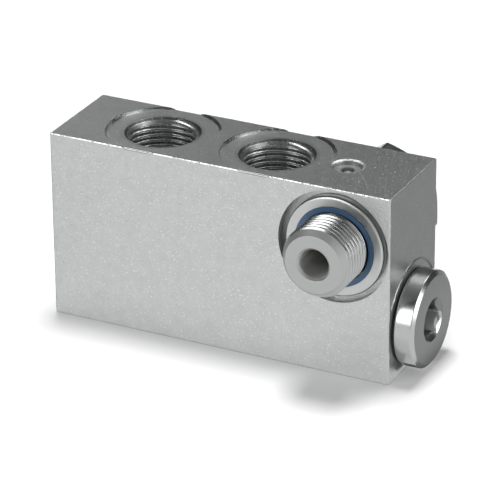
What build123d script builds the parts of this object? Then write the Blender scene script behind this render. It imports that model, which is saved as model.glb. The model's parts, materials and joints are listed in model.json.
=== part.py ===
"""Pilot operated non-return valve in a steel block, for line mounting on a cylinder port.

Frame: origin at the centre of the block's bottom face, +X along the block towards the end plug,
+Y towards the bolt's hexagon head, +Z up. All sizes are in millimetres.

The pilot line enters port 1 and leaves port 3 at the left end. Its pressure pushes the pilot piston
to the right, and the piston's stem lifts the poppet off its seat. The working line enters port 2,
lifts the poppet by itself, and leaves through the gallery and the hollow bolt.
"""

import os
from math import cos, pi, radians, tan

from build123d import *

# Block
block_length = 85.0
block_depth = 25.0
block_height = 45.5
end_edge_radius = 0.3
long_edge_radius = 0.3

# Three-eighths parallel pipe thread, used by the ports, the end plug and the hollow bolt
thread_major_d = 16.662
thread_minor_d = 14.950
thread_mouth_chamfer = 0.55
drill_point_slope = tan(radians(31.0))

# Ports: two on top, one in the left end
port_2_to_end = 33.5
port_pitch = 29.0
port_spot_d = 25.9
port_spot_depth = 0.45
port_spot_rim = 0.27
port_thread_length = 12.0
port_drill_runout = 2.6
port_passage_d = 9.0
end_spot_d = 25.8
end_spot_depth = 0.1
end_spot_rim = 0.05
pilot_passage_d = 10.0

# Main bore along the block
bore_z = 11.97
plug_thread_runout = 1.5
seat_shoulder_depth = 25.5
piston_bore_d = 13.0
piston_bore_length = 29.0

# Gallery from the poppet chamber up to the hollow bolt, drilled from the top and plugged there
gallery_to_bolt = 2.3
gallery_d = 5.5
gallery_plug_d = 6.4
gallery_plug_length = 3.8
gallery_plug_recess = 1.0
gallery_dish_d = 7.8
gallery_dish_depth = 0.22
gallery_mouth_chamfer = 0.2
gallery_ball_d = 3.0
gallery_ball_depth = 0.25

# Hollow bolt and its bore across the block
bolt_to_end = 13.8
bolt_to_top = 14.05
bolt_bore_gap = 0.169
bolt_guide_gap = 0.4
washer_recess_d = 26.9
washer_recess_depth = 2.5
bolt_projection = 10.2
bolt_shank_length = 5.8
bolt_neck_d = 12.8
bolt_land_length = 6.4
bolt_thread_length = 10.3
bolt_end_chamfer = 1.48
bolt_neck_chamfer = 0.8
bolt_way_d = 7.0
bolt_way_end_y = 3.5
bolt_way_mouth_chamfer = 0.5
bolt_cross_hole_d = 5.0
bolt_head_flats = 22.0
bolt_head_height = 8.0
bolt_head_turn = 25.0
bolt_head_chamfer_d = 20.9

# Bonded sealing washers
washer_outer_d = 24.0
washer_thickness = 2.0
washer_lip_gap = 0.1
washer_lip_width = 1.19
washer_lip_proud = 0.25
washer_lip_slope = 0.12
washer_edge_chamfer = 0.3
washer_sag = 0.25

# End plug and its sealing ring
plug_head_d = 22.6
plug_head_gap = 0.42
plug_head_height = 4.88
plug_front_chamfer = 1.0
plug_front_chamfer_height = 0.7
plug_back_chamfer = 0.3
plug_shank_length = 12.0
plug_rim_width = 0.7
plug_groove_depth = 0.8
plug_seal_width = 1.68
plug_socket_flats = 8.0
plug_socket_depth = 6.0
plug_socket_mouth_d = 10.4
plug_socket_turn = -1.5
plug_pocket_depth = 6.5

# Valve seat, pressed into the chamber
seat_length = 5.0
seat_bore_d = 7.0
seat_cone_depth = 0.7
seat_groove_start = 1.4
seat_ring_section = 1.15
seat_backup_width = 0.7
seat_nose_chamfer = 0.4

# Poppet and spring
poppet_seat_gap = 0.1
poppet_nose_d = 4.0
poppet_collar_d = 11.2
poppet_collar_length = 1.0
poppet_skirt_d = 9.4
poppet_travel = 2.5
poppet_stop_gap = 0.1
poppet_spring_bore_d = 7.2
poppet_floor = 1.5
poppet_vent_d = 1.2
poppet_vent_setback = 3.0
spring_wire_d = 0.6
spring_side_gap = 0.25
spring_turns = 4.0
spring_end_gap = 0.05
spring_end_grind = 0.1

# Pilot piston and its seals
piston_length = 11.0
piston_stem_d = 3.6
piston_stem_gap = 0.1
piston_stop_gap = 0.1
piston_groove_start = 3.6
piston_ring_section = 1.3
piston_ring_squeeze = 1.2
piston_backup_width = 0.9
piston_back_recess_d = 7.0
piston_back_recess_depth = 1.2
piston_edge_chamfer = 0.5
piston_stem_chamfer = 0.4

# Clearances, the bulge of squeezed rubber, and how far a cutter runs past a face
running_clearance = 0.05
fitted_clearance = 0.02
groove_side_clearance = 0.1
ring_bulge = 0.18
overshoot = 1.0

# Worked out from the sizes above
thread_major_r = thread_major_d / 2
thread_minor_r = thread_minor_d / 2
right_face_x = block_length / 2
port_2_x = right_face_x - port_2_to_end
port_1_x = port_2_x - port_pitch
bolt_x = right_face_x - bolt_to_end
bolt_z = block_height - bolt_to_top
gallery_x = bolt_x - gallery_to_bolt
seat_shoulder_x = right_face_x - seat_shoulder_depth
piston_stop_x = seat_shoulder_x - piston_bore_length
bolt_bore_d = thread_major_d + 2 * bolt_bore_gap
bolt_shank_r = bolt_bore_d / 2 - bolt_guide_gap
washer_lip_inner_r = thread_major_r + washer_lip_gap
washer_metal_inner_r = washer_lip_inner_r + washer_lip_width
plug_seat_x = right_face_x - end_spot_depth
plug_head_x = plug_seat_x + plug_head_gap
plug_front_x = plug_head_x + plug_head_height
plug_inner_x = plug_seat_x - plug_shank_length
plug_pocket_x = plug_inner_x + plug_pocket_depth
plug_pocket_r = poppet_skirt_d / 2 + running_clearance
seat_face_x = seat_shoulder_x + seat_length
seat_edge_x = seat_face_x - seat_cone_depth
plug_groove_outer_r = plug_head_d / 2 - plug_rim_width
washer_seat_y = block_depth / 2 - washer_recess_depth
bolt_head_y = washer_seat_y + washer_thickness
poppet_nose_x = seat_edge_x + poppet_nose_d / 2 - seat_bore_d / 2 + poppet_seat_gap * 2 ** 0.5
poppet_collar_x = poppet_nose_x + (poppet_collar_d - poppet_nose_d) / 2
poppet_skirt_x = poppet_collar_x + poppet_collar_length
poppet_floor_x = poppet_collar_x + poppet_floor
piston_back_x = piston_stop_x + piston_stop_gap
piston_front_x = piston_back_x + piston_length
stem_tip_x = poppet_nose_x - piston_stem_gap

# Places of the turned pieces: each one is turned about a local Z that these planes point along
along_bore = Plane(origin=(0, 0, bore_z), x_dir=(0, 1, 0), z_dir=(1, 0, 0))
along_left_port = Plane(origin=(0, 0, bore_z), x_dir=(0, 1, 0), z_dir=(-1, 0, 0))
along_bolt = Plane(origin=(bolt_x, 0, bolt_z), x_dir=(1, 0, 0), z_dir=(0, -1, 0))
behind_bolt = Plane(origin=(bolt_x, 0, bolt_z), x_dir=(1, 0, 0), z_dir=(0, 1, 0))
front_washer_place = Plane(origin=(bolt_x, 0, bolt_z - washer_sag), x_dir=(1, 0, 0), z_dir=(0, -1, 0))
rear_washer_place = Plane(origin=(bolt_x, 0, bolt_z - washer_sag), x_dir=(1, 0, 0), z_dir=(0, 1, 0))


def upright(x):
    """Plane of a vertical axis through (x, 0)."""
    return Plane(origin=(x, 0, 0), x_dir=(1, 0, 0), z_dir=(0, 0, 1))


def turned(outline, place):
    """Solid turned from an outline of (radius, height) points, set on its place."""
    face = make_face(Polyline(*outline, close=True))
    return place * revolve(Plane.XZ * face, axis=Axis.Z)


def ring(inner_r, outer_r, start, end, place):
    """Plain ring between two radii and two heights."""
    outline = [(inner_r, start), (outer_r, start), (outer_r, end), (inner_r, end)]
    return turned(outline, place)


def squeezed_ring(inner_r, outer_r, start, width, place):
    """Rubber ring in its groove: flat where it is squeezed, bulged at its two free sides."""
    middle_r = (inner_r + outer_r) / 2
    end = start + width
    sides = [
        ThreePointArc((inner_r, start + ring_bulge), (middle_r, start), (outer_r, start + ring_bulge)),
        Line((outer_r, start + ring_bulge), (outer_r, end - ring_bulge)),
        ThreePointArc((outer_r, end - ring_bulge), (middle_r, end), (inner_r, end - ring_bulge)),
        Line((inner_r, end - ring_bulge), (inner_r, start + ring_bulge)),
    ]
    return place * revolve(Plane.XZ * make_face(Wire(sides)), axis=Axis.Z)


def hexagon_bar(flats, start, length, turn, place):
    """Hexagonal bar of a size across flats, turned about its axis."""
    corner_r = flats / 2 / cos(pi / 6)
    section = Rotation(0, 0, turn) * RegularPolygon(corner_r, 6)
    return place * (Location((0, 0, start)) * extrude(section, length))


def port_cutter(face_h, spot_d, spot_depth, spot_rim, passage_d, passage_end_h, place):
    """Spot face, mouth, thread, tapping drill and passage of one port, as the tools leave them."""
    floor = face_h - spot_depth
    thread_end = floor - port_thread_length
    drill_end = thread_end - port_drill_runout
    passage_r = passage_d / 2
    outline = [
        (0, face_h + overshoot),
        (spot_d / 2 + spot_rim, face_h + overshoot),
        (spot_d / 2 + spot_rim, face_h),
        (spot_d / 2, face_h - spot_rim),
        (spot_d / 2, floor),
        (thread_major_r + thread_mouth_chamfer, floor),
        (thread_major_r, floor - thread_mouth_chamfer),
        (thread_major_r, thread_end),
        (thread_minor_r, thread_end),
        (thread_minor_r, drill_end),
        (passage_r, drill_end - (thread_minor_r - passage_r) * drill_point_slope),
        (passage_r, passage_end_h),
        (0, passage_end_h - passage_r * drill_point_slope),
    ]
    return turned(outline, place)


def main_bore_cutter():
    """Stepped bore from the right end: plug thread, poppet chamber, piston bore, pilot passage."""
    thread_end = plug_inner_x - plug_thread_runout
    outline = [
        (0, right_face_x + overshoot),
        (end_spot_d / 2 + end_spot_rim, right_face_x + overshoot),
        (end_spot_d / 2 + end_spot_rim, right_face_x),
        (end_spot_d / 2, right_face_x - end_spot_rim),
        (end_spot_d / 2, plug_seat_x),
        (thread_major_r + thread_mouth_chamfer, plug_seat_x),
        (thread_major_r, plug_seat_x - thread_mouth_chamfer),
        (thread_major_r, thread_end),
        (thread_minor_r, thread_end),
        (thread_minor_r, seat_shoulder_x),
        (piston_bore_d / 2, seat_shoulder_x),
        (piston_bore_d / 2, piston_stop_x),
        (pilot_passage_d / 2, piston_stop_x),
        (pilot_passage_d / 2, port_1_x),
        (0, port_1_x),
    ]
    return turned(outline, along_bore)


def gallery_cutter():
    """Vertical drilling through the bolt's bore into the poppet chamber, dished at the top face."""
    mouth_r = gallery_plug_d / 2 + gallery_mouth_chamfer
    dish_floor = block_height - gallery_dish_depth
    plug_end = block_height - gallery_plug_recess - gallery_plug_length
    outline = [
        (0, block_height + overshoot),
        (gallery_dish_d / 2, block_height + overshoot),
        (gallery_dish_d / 2, block_height),
        (mouth_r, dish_floor),
        (gallery_plug_d / 2, dish_floor - gallery_mouth_chamfer),
        (gallery_plug_d / 2, plug_end),
        (gallery_d / 2, plug_end),
        (gallery_d / 2, bore_z),
        (0, bore_z),
    ]
    return turned(outline, upright(gallery_x))


def bolt_bore_cutter():
    """Cross bore for the hollow bolt, with a washer recess in the front and back faces."""
    outside = block_depth / 2 + overshoot
    outline = [
        (0, -outside),
        (washer_recess_d / 2, -outside),
        (washer_recess_d / 2, -washer_seat_y),
        (bolt_bore_d / 2, -washer_seat_y),
        (bolt_bore_d / 2, washer_seat_y),
        (washer_recess_d / 2, washer_seat_y),
        (washer_recess_d / 2, outside),
        (0, outside),
    ]
    return turned(outline, along_bolt)


def make_valve_body():
    """Block cut from drawn bar, with its edges broken and all its drillings."""
    block = Location((0, 0, block_height / 2)) * Box(block_length, block_depth, block_height)
    block = fillet(block.edges().filter_by(Axis.Z), end_edge_radius)
    rim = block.edges().group_by(Axis.Z)[0] + block.edges().group_by(Axis.Z)[-1]
    block = fillet(rim, long_edge_radius)
    for x in (port_1_x, port_2_x):
        block -= port_cutter(
            block_height, port_spot_d, port_spot_depth, port_spot_rim, port_passage_d, bore_z, upright(x)
        )
    left_end = -port_1_x
    block -= port_cutter(
        block_length / 2, end_spot_d, end_spot_depth, end_spot_rim, pilot_passage_d, left_end, along_left_port
    )
    block -= main_bore_cutter()
    block -= gallery_cutter()
    block -= bolt_bore_cutter()
    return block


def make_end_plug():
    """Screw plug with a socket outside and a pocket inside that guides the poppet."""
    head_r = plug_head_d / 2
    shank_r = thread_major_r - fitted_clearance
    groove_x = plug_head_x + plug_groove_depth
    outline = [
        (0, plug_front_x),
        (head_r - plug_front_chamfer, plug_front_x),
        (head_r, plug_front_x - plug_front_chamfer_height),
        (head_r, plug_head_x + plug_back_chamfer),
        (head_r - plug_back_chamfer, plug_head_x),
        (plug_groove_outer_r, plug_head_x),
        (plug_groove_outer_r, groove_x),
        (thread_minor_r, groove_x),
        (thread_minor_r, plug_seat_x - thread_mouth_chamfer),
        (shank_r, plug_seat_x - thread_mouth_chamfer - (shank_r - thread_minor_r)),
        (shank_r, plug_inner_x + (shank_r - thread_minor_r)),
        (thread_minor_r, plug_inner_x),
        (plug_pocket_r, plug_inner_x),
        (plug_pocket_r, plug_pocket_x),
        (0, plug_pocket_x),
    ]
    plug = turned(outline, along_bore)
    socket_x = plug_front_x - plug_socket_depth
    plug -= hexagon_bar(plug_socket_flats, socket_x, plug_socket_depth + overshoot, plug_socket_turn, along_bore)
    mouth_r = plug_socket_mouth_d / 2
    mouth = [(0, plug_front_x), (mouth_r, plug_front_x), (0, plug_front_x - mouth_r)]
    return plug - turned(mouth, along_bore)


def make_end_plug_seal():
    """Rubber ring between the plug's head and the block."""
    outer_r = plug_groove_outer_r - fitted_clearance
    end = plug_head_x + plug_groove_depth
    return ring(outer_r - plug_seal_width, outer_r, plug_seat_x, end, along_bore)


def make_hollow_bolt():
    """Hollow bolt: hexagon head, shank, relieved neck with cross holes, plain land, threaded end."""
    tip = block_depth / 2 + bolt_projection
    thread_start = tip - bolt_thread_length
    land_start = thread_start - bolt_land_length
    shank_end = -bolt_head_y + bolt_shank_length
    neck_r = bolt_neck_d / 2
    outline = [
        (0, -bolt_head_y),
        (bolt_shank_r, -bolt_head_y),
        (bolt_shank_r, shank_end - bolt_neck_chamfer),
        (bolt_shank_r - bolt_neck_chamfer, shank_end),
        (neck_r, shank_end),
        (neck_r, land_start),
        (bolt_shank_r - bolt_neck_chamfer, land_start),
        (bolt_shank_r, land_start + bolt_neck_chamfer),
        (bolt_shank_r, thread_start),
        (thread_major_r, thread_start + thread_major_r - bolt_shank_r),
        (thread_major_r, tip - bolt_end_chamfer),
        (thread_major_r - bolt_end_chamfer, tip),
        (0, tip),
    ]
    bolt = turned(outline, along_bolt) + make_bolt_head()
    way_r = bolt_way_d / 2
    mouth_r = way_r + bolt_way_mouth_chamfer
    way = [
        (0, tip),
        (mouth_r, tip),
        (way_r, tip - bolt_way_mouth_chamfer),
        (way_r, -bolt_way_end_y),
        (0, -bolt_way_end_y - way_r * drill_point_slope),
    ]
    bolt -= turned(way, along_bolt)
    for turn in (0, 90):
        drill = Rotation(0, 90, 0) * Cylinder(bolt_cross_hole_d / 2, 2 * bolt_neck_d)
        bolt -= along_bolt * (Rotation(0, 0, turn) * drill)
    return bolt


def make_bolt_head():
    """Hexagon head with its outer corners turned to a 30 degree cone."""
    end = bolt_head_y + bolt_head_height
    head = hexagon_bar(bolt_head_flats, bolt_head_y, bolt_head_height, bolt_head_turn, behind_bolt)
    face_r = bolt_head_chamfer_d / 2
    corner_r = bolt_head_flats / 2 / cos(pi / 6) + overshoot
    blank = [
        (0, bolt_head_y),
        (corner_r, bolt_head_y),
        (corner_r, end - (corner_r - face_r) * tan(radians(30))),
        (face_r, end),
        (0, end),
    ]
    return head & turned(blank, behind_bolt)


def washer_places():
    """Local axes of the front and rear washers, which hang a little below the bolt's axis."""
    return {"front": front_washer_place, "rear": rear_washer_place}


def make_washer_ring(place):
    """Steel ring of a bonded washer."""
    outer_r = washer_outer_d / 2
    start = washer_seat_y
    end = washer_seat_y + washer_thickness
    c = washer_edge_chamfer
    outline = [
        (washer_metal_inner_r, start),
        (outer_r - c, start),
        (outer_r, start + c),
        (outer_r, end - c),
        (outer_r - c, end),
        (washer_metal_inner_r, end),
    ]
    return turned(outline, place)


def make_washer_lip(place, proud):
    """Rubber lip moulded inside the washer's ring, wider at the ring than at its bore."""
    outer_r = washer_metal_inner_r - fitted_clearance
    start = washer_seat_y
    end = washer_seat_y + washer_thickness
    outline = [
        (washer_lip_inner_r, start + washer_lip_slope),
        (outer_r, start),
        (outer_r, end + proud),
        (washer_lip_inner_r, end + proud - washer_lip_slope),
    ]
    return turned(outline, place)


def make_gallery_sleeve():
    """Sleeve of the expander plug that closes the gallery's drilling."""
    top = block_height - gallery_plug_recess
    bottom = top - gallery_plug_length
    outer_r = gallery_plug_d / 2 - fitted_clearance
    bore_r = gallery_ball_d / 2 + fitted_clearance
    outline = [
        (0, bottom),
        (outer_r, bottom),
        (outer_r, top),
        (bore_r, top),
        (bore_r, top - gallery_ball_depth - gallery_ball_d),
        (0, top - gallery_ball_depth - gallery_ball_d),
    ]
    return turned(outline, upright(gallery_x))


def make_gallery_ball():
    """Ball driven into the sleeve to spread it."""
    centre_z = block_height - gallery_plug_recess - gallery_ball_depth - gallery_ball_d / 2
    return Location((gallery_x, 0, centre_z)) * Sphere(gallery_ball_d / 2 - fitted_clearance)


def seat_groove_width():
    """Width of the seat's groove: rubber ring, backup ring and side play."""
    return seat_ring_section + seat_backup_width + groove_side_clearance


def make_valve_seat():
    """Hardened seat: groove for its seals outside, seat cone at the bore's right mouth."""
    outer_r = thread_minor_r - fitted_clearance
    bore_r = seat_bore_d / 2
    groove_r = thread_minor_r - seat_ring_section
    groove_x = seat_shoulder_x + seat_groove_start
    groove_end = groove_x + seat_groove_width()
    c = seat_nose_chamfer
    outline = [
        (bore_r, seat_shoulder_x),
        (outer_r - c, seat_shoulder_x),
        (outer_r, seat_shoulder_x + c),
        (outer_r, groove_x),
        (groove_r, groove_x),
        (groove_r, groove_end),
        (outer_r, groove_end),
        (outer_r, seat_face_x),
        (bore_r + seat_cone_depth, seat_face_x),
        (bore_r, seat_edge_x),
    ]
    return turned(outline, along_bore)


def make_seat_seals():
    """Rubber ring and backup ring in the seat's groove, the backup ring on the port side."""
    inner_r = thread_minor_r - seat_ring_section + fitted_clearance
    outer_r = thread_minor_r - fitted_clearance
    backup_x = seat_shoulder_x + seat_groove_start
    ring_x = backup_x + seat_backup_width + groove_side_clearance / 2
    backup = ring(inner_r, outer_r, backup_x, backup_x + seat_backup_width, along_bore)
    rubber = squeezed_ring(inner_r, outer_r, ring_x, seat_ring_section, along_bore)
    return rubber, backup


def make_poppet():
    """Cone poppet with a collar and a hollow skirt that slides in the end plug's pocket."""
    skirt_r = poppet_skirt_d / 2
    spring_r = poppet_spring_bore_d / 2
    skirt_end = plug_pocket_x - poppet_travel - poppet_stop_gap
    outline = [
        (0, poppet_nose_x),
        (poppet_nose_d / 2, poppet_nose_x),
        (poppet_collar_d / 2, poppet_collar_x),
        (poppet_collar_d / 2, poppet_skirt_x),
        (skirt_r, poppet_skirt_x),
        (skirt_r, skirt_end),
        (spring_r, skirt_end),
        (spring_r, poppet_floor_x),
        (0, poppet_floor_x),
    ]
    poppet = turned(outline, along_bore)
    vent = Cylinder(poppet_vent_d / 2, 2 * poppet_skirt_d)
    return poppet - Location((poppet_skirt_x + poppet_vent_setback, 0, bore_z)) * vent


def make_poppet_spring():
    """Compression spring between the poppet's floor and the plug's pocket.

    One turn at each end lies nearly closed and is ground flat, and the turns between are open.
    """
    wire_r = spring_wire_d / 2
    outer_r = poppet_spring_bore_d / 2 - spring_side_gap
    coil_r = outer_r - wire_r
    end_pitch = spring_wire_d + spring_end_gap
    length = plug_pocket_x - poppet_floor_x
    open_length = length - 2 * (end_pitch + spring_end_grind)
    top_end = length - end_pitch - spring_end_grind
    end_turn = Helix(pitch=end_pitch, height=end_pitch, radius=coil_r)
    open_turns = Helix(pitch=open_length / spring_turns, height=open_length, radius=coil_r)
    path = Wire(
        (Location((0, 0, spring_end_grind)) * end_turn).edges()
        + (Location((0, 0, top_end - open_length)) * open_turns).edges()
        + (Location((0, 0, top_end)) * end_turn).edges()
    )
    section = Plane(origin=path @ 0, z_dir=path % 0) * Circle(wire_r)
    wire = sweep(section, path=path)
    ground = Location((0, 0, length / 2)) * Cylinder(outer_r + overshoot, length - 2 * fitted_clearance)
    return along_bore * (Location((0, 0, poppet_floor_x)) * (wire & ground))


def make_pilot_piston():
    """Piston with a seal groove, a recess for the pilot oil, and the stem that lifts the poppet."""
    outer_r = piston_bore_d / 2 - running_clearance
    groove_r = piston_bore_d / 2 - piston_ring_section
    groove_x = piston_back_x + piston_groove_start
    groove_end = groove_x + piston_groove_width()
    stem_r = piston_stem_d / 2
    c = piston_edge_chamfer
    s = piston_stem_chamfer
    outline = [
        (0, piston_back_x + piston_back_recess_depth),
        (piston_back_recess_d / 2, piston_back_x + piston_back_recess_depth),
        (piston_back_recess_d / 2, piston_back_x),
        (outer_r - c, piston_back_x),
        (outer_r, piston_back_x + c),
        (outer_r, groove_x),
        (groove_r, groove_x),
        (groove_r, groove_end),
        (outer_r, groove_end),
        (outer_r, piston_front_x - c),
        (outer_r - c, piston_front_x),
        (stem_r + s, piston_front_x),
        (stem_r, piston_front_x + s),
        (stem_r, stem_tip_x - s),
        (stem_r - s, stem_tip_x),
        (0, stem_tip_x),
    ]
    return turned(outline, along_bore)


def piston_groove_width():
    """Width of the piston's groove: squeezed ring, backup ring and side play."""
    return piston_ring_section * piston_ring_squeeze + piston_backup_width + groove_side_clearance


def make_piston_seals():
    """Rubber ring on the pilot side of the piston's groove and backup ring on the other side."""
    inner_r = piston_bore_d / 2 - piston_ring_section + fitted_clearance
    outer_r = piston_bore_d / 2 - fitted_clearance
    width = piston_ring_section * piston_ring_squeeze
    ring_x = piston_back_x + piston_groove_start + groove_side_clearance / 2
    backup_x = ring_x + width + groove_side_clearance / 2
    rubber = squeezed_ring(inner_r, outer_r, ring_x, width, along_bore)
    backup = ring(inner_r, outer_r, backup_x, backup_x + piston_backup_width, along_bore)
    return rubber, backup


def make_parts():
    """All the pieces, by node name."""
    seat_o_ring, seat_backup_ring = make_seat_seals()
    piston_o_ring, piston_backup_ring = make_piston_seals()
    parts = {
        "valve_body": make_valve_body(),
        "end_plug": make_end_plug(),
        "end_plug_seal": make_end_plug_seal(),
        "hollow_bolt": make_hollow_bolt(),
        "gallery_plug_sleeve": make_gallery_sleeve(),
        "gallery_plug_ball": make_gallery_ball(),
        "valve_seat": make_valve_seat(),
        "seat_o_ring": seat_o_ring,
        "seat_backup_ring": seat_backup_ring,
        "poppet": make_poppet(),
        "poppet_spring": make_poppet_spring(),
        "pilot_piston": make_pilot_piston(),
        "piston_o_ring": piston_o_ring,
        "piston_backup_ring": piston_backup_ring,
    }
    for side, place in washer_places().items():
        proud = washer_lip_proud if side == "front" else 0.0
        parts[side + "_washer_ring"] = make_washer_ring(place)
        parts[side + "_washer_lip"] = make_washer_lip(place, proud)
    return parts


os.makedirs("parts", exist_ok=True)
for name, solid in make_parts().items():
    export_step(solid, "parts/" + name + ".step")
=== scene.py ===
"""Pilot operated non-return valve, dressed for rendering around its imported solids.

The solids give every size that they hold. This script adds what they leave out: the pipe threads,
the turned and eased edges of the hollow bolt, the washers and the end plug, the wound spring, two
burrs, the finishes, and a plain studio. It is laid out as an add-on and is run as a script.
"""

import json
import math

import bmesh
import bpy
import numpy as np
from bpy.props import FloatProperty, FloatVectorProperty, IntProperty, PointerProperty
from mathutils import Matrix, Vector


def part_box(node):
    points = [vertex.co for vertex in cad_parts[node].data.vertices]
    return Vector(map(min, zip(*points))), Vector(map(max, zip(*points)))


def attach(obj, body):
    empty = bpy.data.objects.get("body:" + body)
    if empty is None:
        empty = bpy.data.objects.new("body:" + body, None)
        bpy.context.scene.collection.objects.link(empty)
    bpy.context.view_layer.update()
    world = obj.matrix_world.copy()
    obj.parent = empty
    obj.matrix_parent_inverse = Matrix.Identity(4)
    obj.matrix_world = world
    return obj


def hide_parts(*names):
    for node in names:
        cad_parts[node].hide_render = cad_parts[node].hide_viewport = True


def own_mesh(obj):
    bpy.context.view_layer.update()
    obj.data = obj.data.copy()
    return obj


bl_info = {
    "name": "Pilot operated non-return valve",
    "version": (1, 0, 0),
    "blender": (4, 5, 0),
    "location": "3D View > Sidebar > Valve",
    "description": "Threads, fittings, finishes and studio of a block valve",
    "category": "Object",
}

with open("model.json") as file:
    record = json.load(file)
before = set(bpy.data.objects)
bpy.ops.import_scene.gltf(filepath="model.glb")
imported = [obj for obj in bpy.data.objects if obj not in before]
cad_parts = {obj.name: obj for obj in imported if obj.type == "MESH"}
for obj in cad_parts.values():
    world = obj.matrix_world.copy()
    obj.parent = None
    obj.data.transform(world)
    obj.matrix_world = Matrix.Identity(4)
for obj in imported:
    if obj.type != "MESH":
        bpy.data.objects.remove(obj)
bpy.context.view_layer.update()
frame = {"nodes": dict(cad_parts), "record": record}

MM = 0.001
FULL_TURN = 2 * math.pi
SIXTH_TURN = math.radians(60)

# Steepness that turns a plain triangle wave into 55 degree flanks
FLANK_STEEPNESS = 1.5
# Radius at the root of the three-eighths pipe thread, in millimetres
ROOT_R = 7.475

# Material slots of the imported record
BLOCK = "zinc_plated_block"
FITTING = "zinc_plated_fitting"


def mount(name):
    """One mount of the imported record."""
    return next(m for m in frame["record"]["mounts"] if m["name"] == name)


def spring_joint():
    """The record's joint that shortens the poppet's spring."""
    joints = frame["record"]["behaviour"]["joints"]
    return next(j for j in joints if j.get("deforming_nodes"))


def box_in_mm(node):
    """Lowest and highest corner of a solid, in millimetres."""
    lowest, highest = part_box(node)
    return np.array(lowest) / MM, np.array(highest) / MM


# ---- Surfaces as whole arrays ----


def around(columns):
    """Angles of the columns of a turned surface: equal shares of a full turn."""
    return np.arange(columns) * FULL_TURN / columns


def rows_of(pairs, columns):
    """Rows of (radius, height) from pairs whose values may differ from column to column."""
    spread = [np.broadcast_arrays(*pair, np.zeros(columns))[:2] for pair in pairs]
    return np.stack([np.stack(pair, axis=-1) for pair in spread])


def eased(corners, ease, columns):
    """Rows of a turned outline whose corners are rounded.

    Each corner C becomes the quadratic curve (1-t)^2 A + 2t(1-t) C + t^2 B, where A and B lie the
    ease away from C towards the corners before and after it. One more row outside A and B keeps the
    shading flat up to there. The first and last corners stay sharp. Corners are (radius, height) in
    millimetres, and each row is repeated for all columns.
    """
    longest_share, outside = 0.4, 1.35
    corners = np.array(corners, float)
    middle = corners[1:-1]
    back, ahead = corners[:-2] - middle, corners[2:] - middle
    back_length = np.linalg.norm(back, axis=1, keepdims=True)
    ahead_length = np.linalg.norm(ahead, axis=1, keepdims=True)
    reach = np.minimum(ease, longest_share * np.minimum(back_length, ahead_length))
    to_start = back / back_length * reach
    to_end = ahead / ahead_length * reach
    start, end = (middle + to_start)[:, None], (middle + to_end)[:, None]
    t = np.array([0.0, 0.35, 0.65, 1.0])[None, :, None]
    curve = (1 - t) ** 2 * start + 2 * t * (1 - t) * middle[:, None] + t**2 * end
    first = (middle + to_start * outside)[:, None]
    last = (middle + to_end * outside)[:, None]
    rounded = np.concatenate([first, curve, last], axis=1).reshape(-1, 2)
    outline = np.concatenate([corners[:1], rounded, corners[-1:]])
    return np.repeat(outline[:, None, :], columns, axis=1)


def thread_rows(sizes, start, end, crest_r, plain_r, run_in, run_out):
    """Rows of a right-handed pipe thread between two heights, in millimetres.

    The radius is r = middle + depth/2 u / (1 + u^6)^(1/6), where u = k asin(cos(2 pi h / pitch -
    angle)) / (pi/2) is a triangle wave whose flanks are k times too steep, which gives the thread's
    55 degrees. The division rounds the crests and roots and leaves the flanks straight. Over the
    run-in and the run-out the radius fades to the plain radius by the smooth step s^2 (3 - 2s).
    """
    pitch = sizes.thread_pitch / MM
    depth = sizes.thread_depth / MM
    columns = sizes.columns
    count = int(round((end - start) / pitch * sizes.rows_per_pitch)) + 1
    height = np.linspace(start, end, count)[:, None] + np.zeros((1, columns))
    wave = np.cos(FULL_TURN * height / pitch - around(columns)[None, :])
    wave = FLANK_STEEPNESS * np.arcsin(wave) / (math.pi / 2)
    wave = wave / (1 + wave**6) ** (1 / 6)
    radius = crest_r - depth / 2 + depth / 2 * wave
    rise = np.clip((height - start) / run_in, 0, 1)
    fall = np.clip((end - height) / run_out, 0, 1)
    share = rise * rise * (3 - 2 * rise) * fall * fall * (3 - 2 * fall)
    radius = plain_r + (radius - plain_r) * share
    return np.stack([radius, height], axis=-1)


def turned_points(rows, centre, axis, zero):
    """Points of a turned surface, in metres.

    A row holds (radius, height) for each column. Its point is centre + height along the axis +
    radius along the direction that turns from zero towards axis x zero, right-handed.
    """
    along = np.array(axis, float)
    side = np.array(zero, float)
    up = np.cross(along, side)
    angle = around(rows.shape[1])
    spoke = np.cos(angle)[:, None] * side + np.sin(angle)[:, None] * up
    return (np.array(centre, float) + rows[..., 1:] * along + rows[..., :1] * spoke[None]) * MM


def grid_quads(rows, columns, closed_rows):
    """Quads of a grid that closes round its columns, and round its rows when asked."""
    i = np.arange(rows if closed_rows else rows - 1)[:, None]
    j = np.arange(columns)[None, :]
    next_i, next_j = (i + 1) % rows, (j + 1) % columns
    corners = [i * columns + j, i * columns + next_j]
    corners += [next_i * columns + next_j, next_i * columns + j]
    return np.stack(np.broadcast_arrays(*corners), axis=-1).reshape(-1, 4)


def end_triangles(rows, columns):
    """Triangles from the first and last row of a grid to the two poles that follow its points."""
    j = np.arange(columns)
    last = (rows - 1) * columns
    next_j = (j + 1) % columns
    poles = rows * columns + np.array([[0], [1]]) + np.zeros((1, columns), int)
    low = np.stack([next_j, j, poles[0]], axis=-1)
    high = np.stack([last + j, last + next_j, poles[1]], axis=-1)
    return [low, high]


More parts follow.
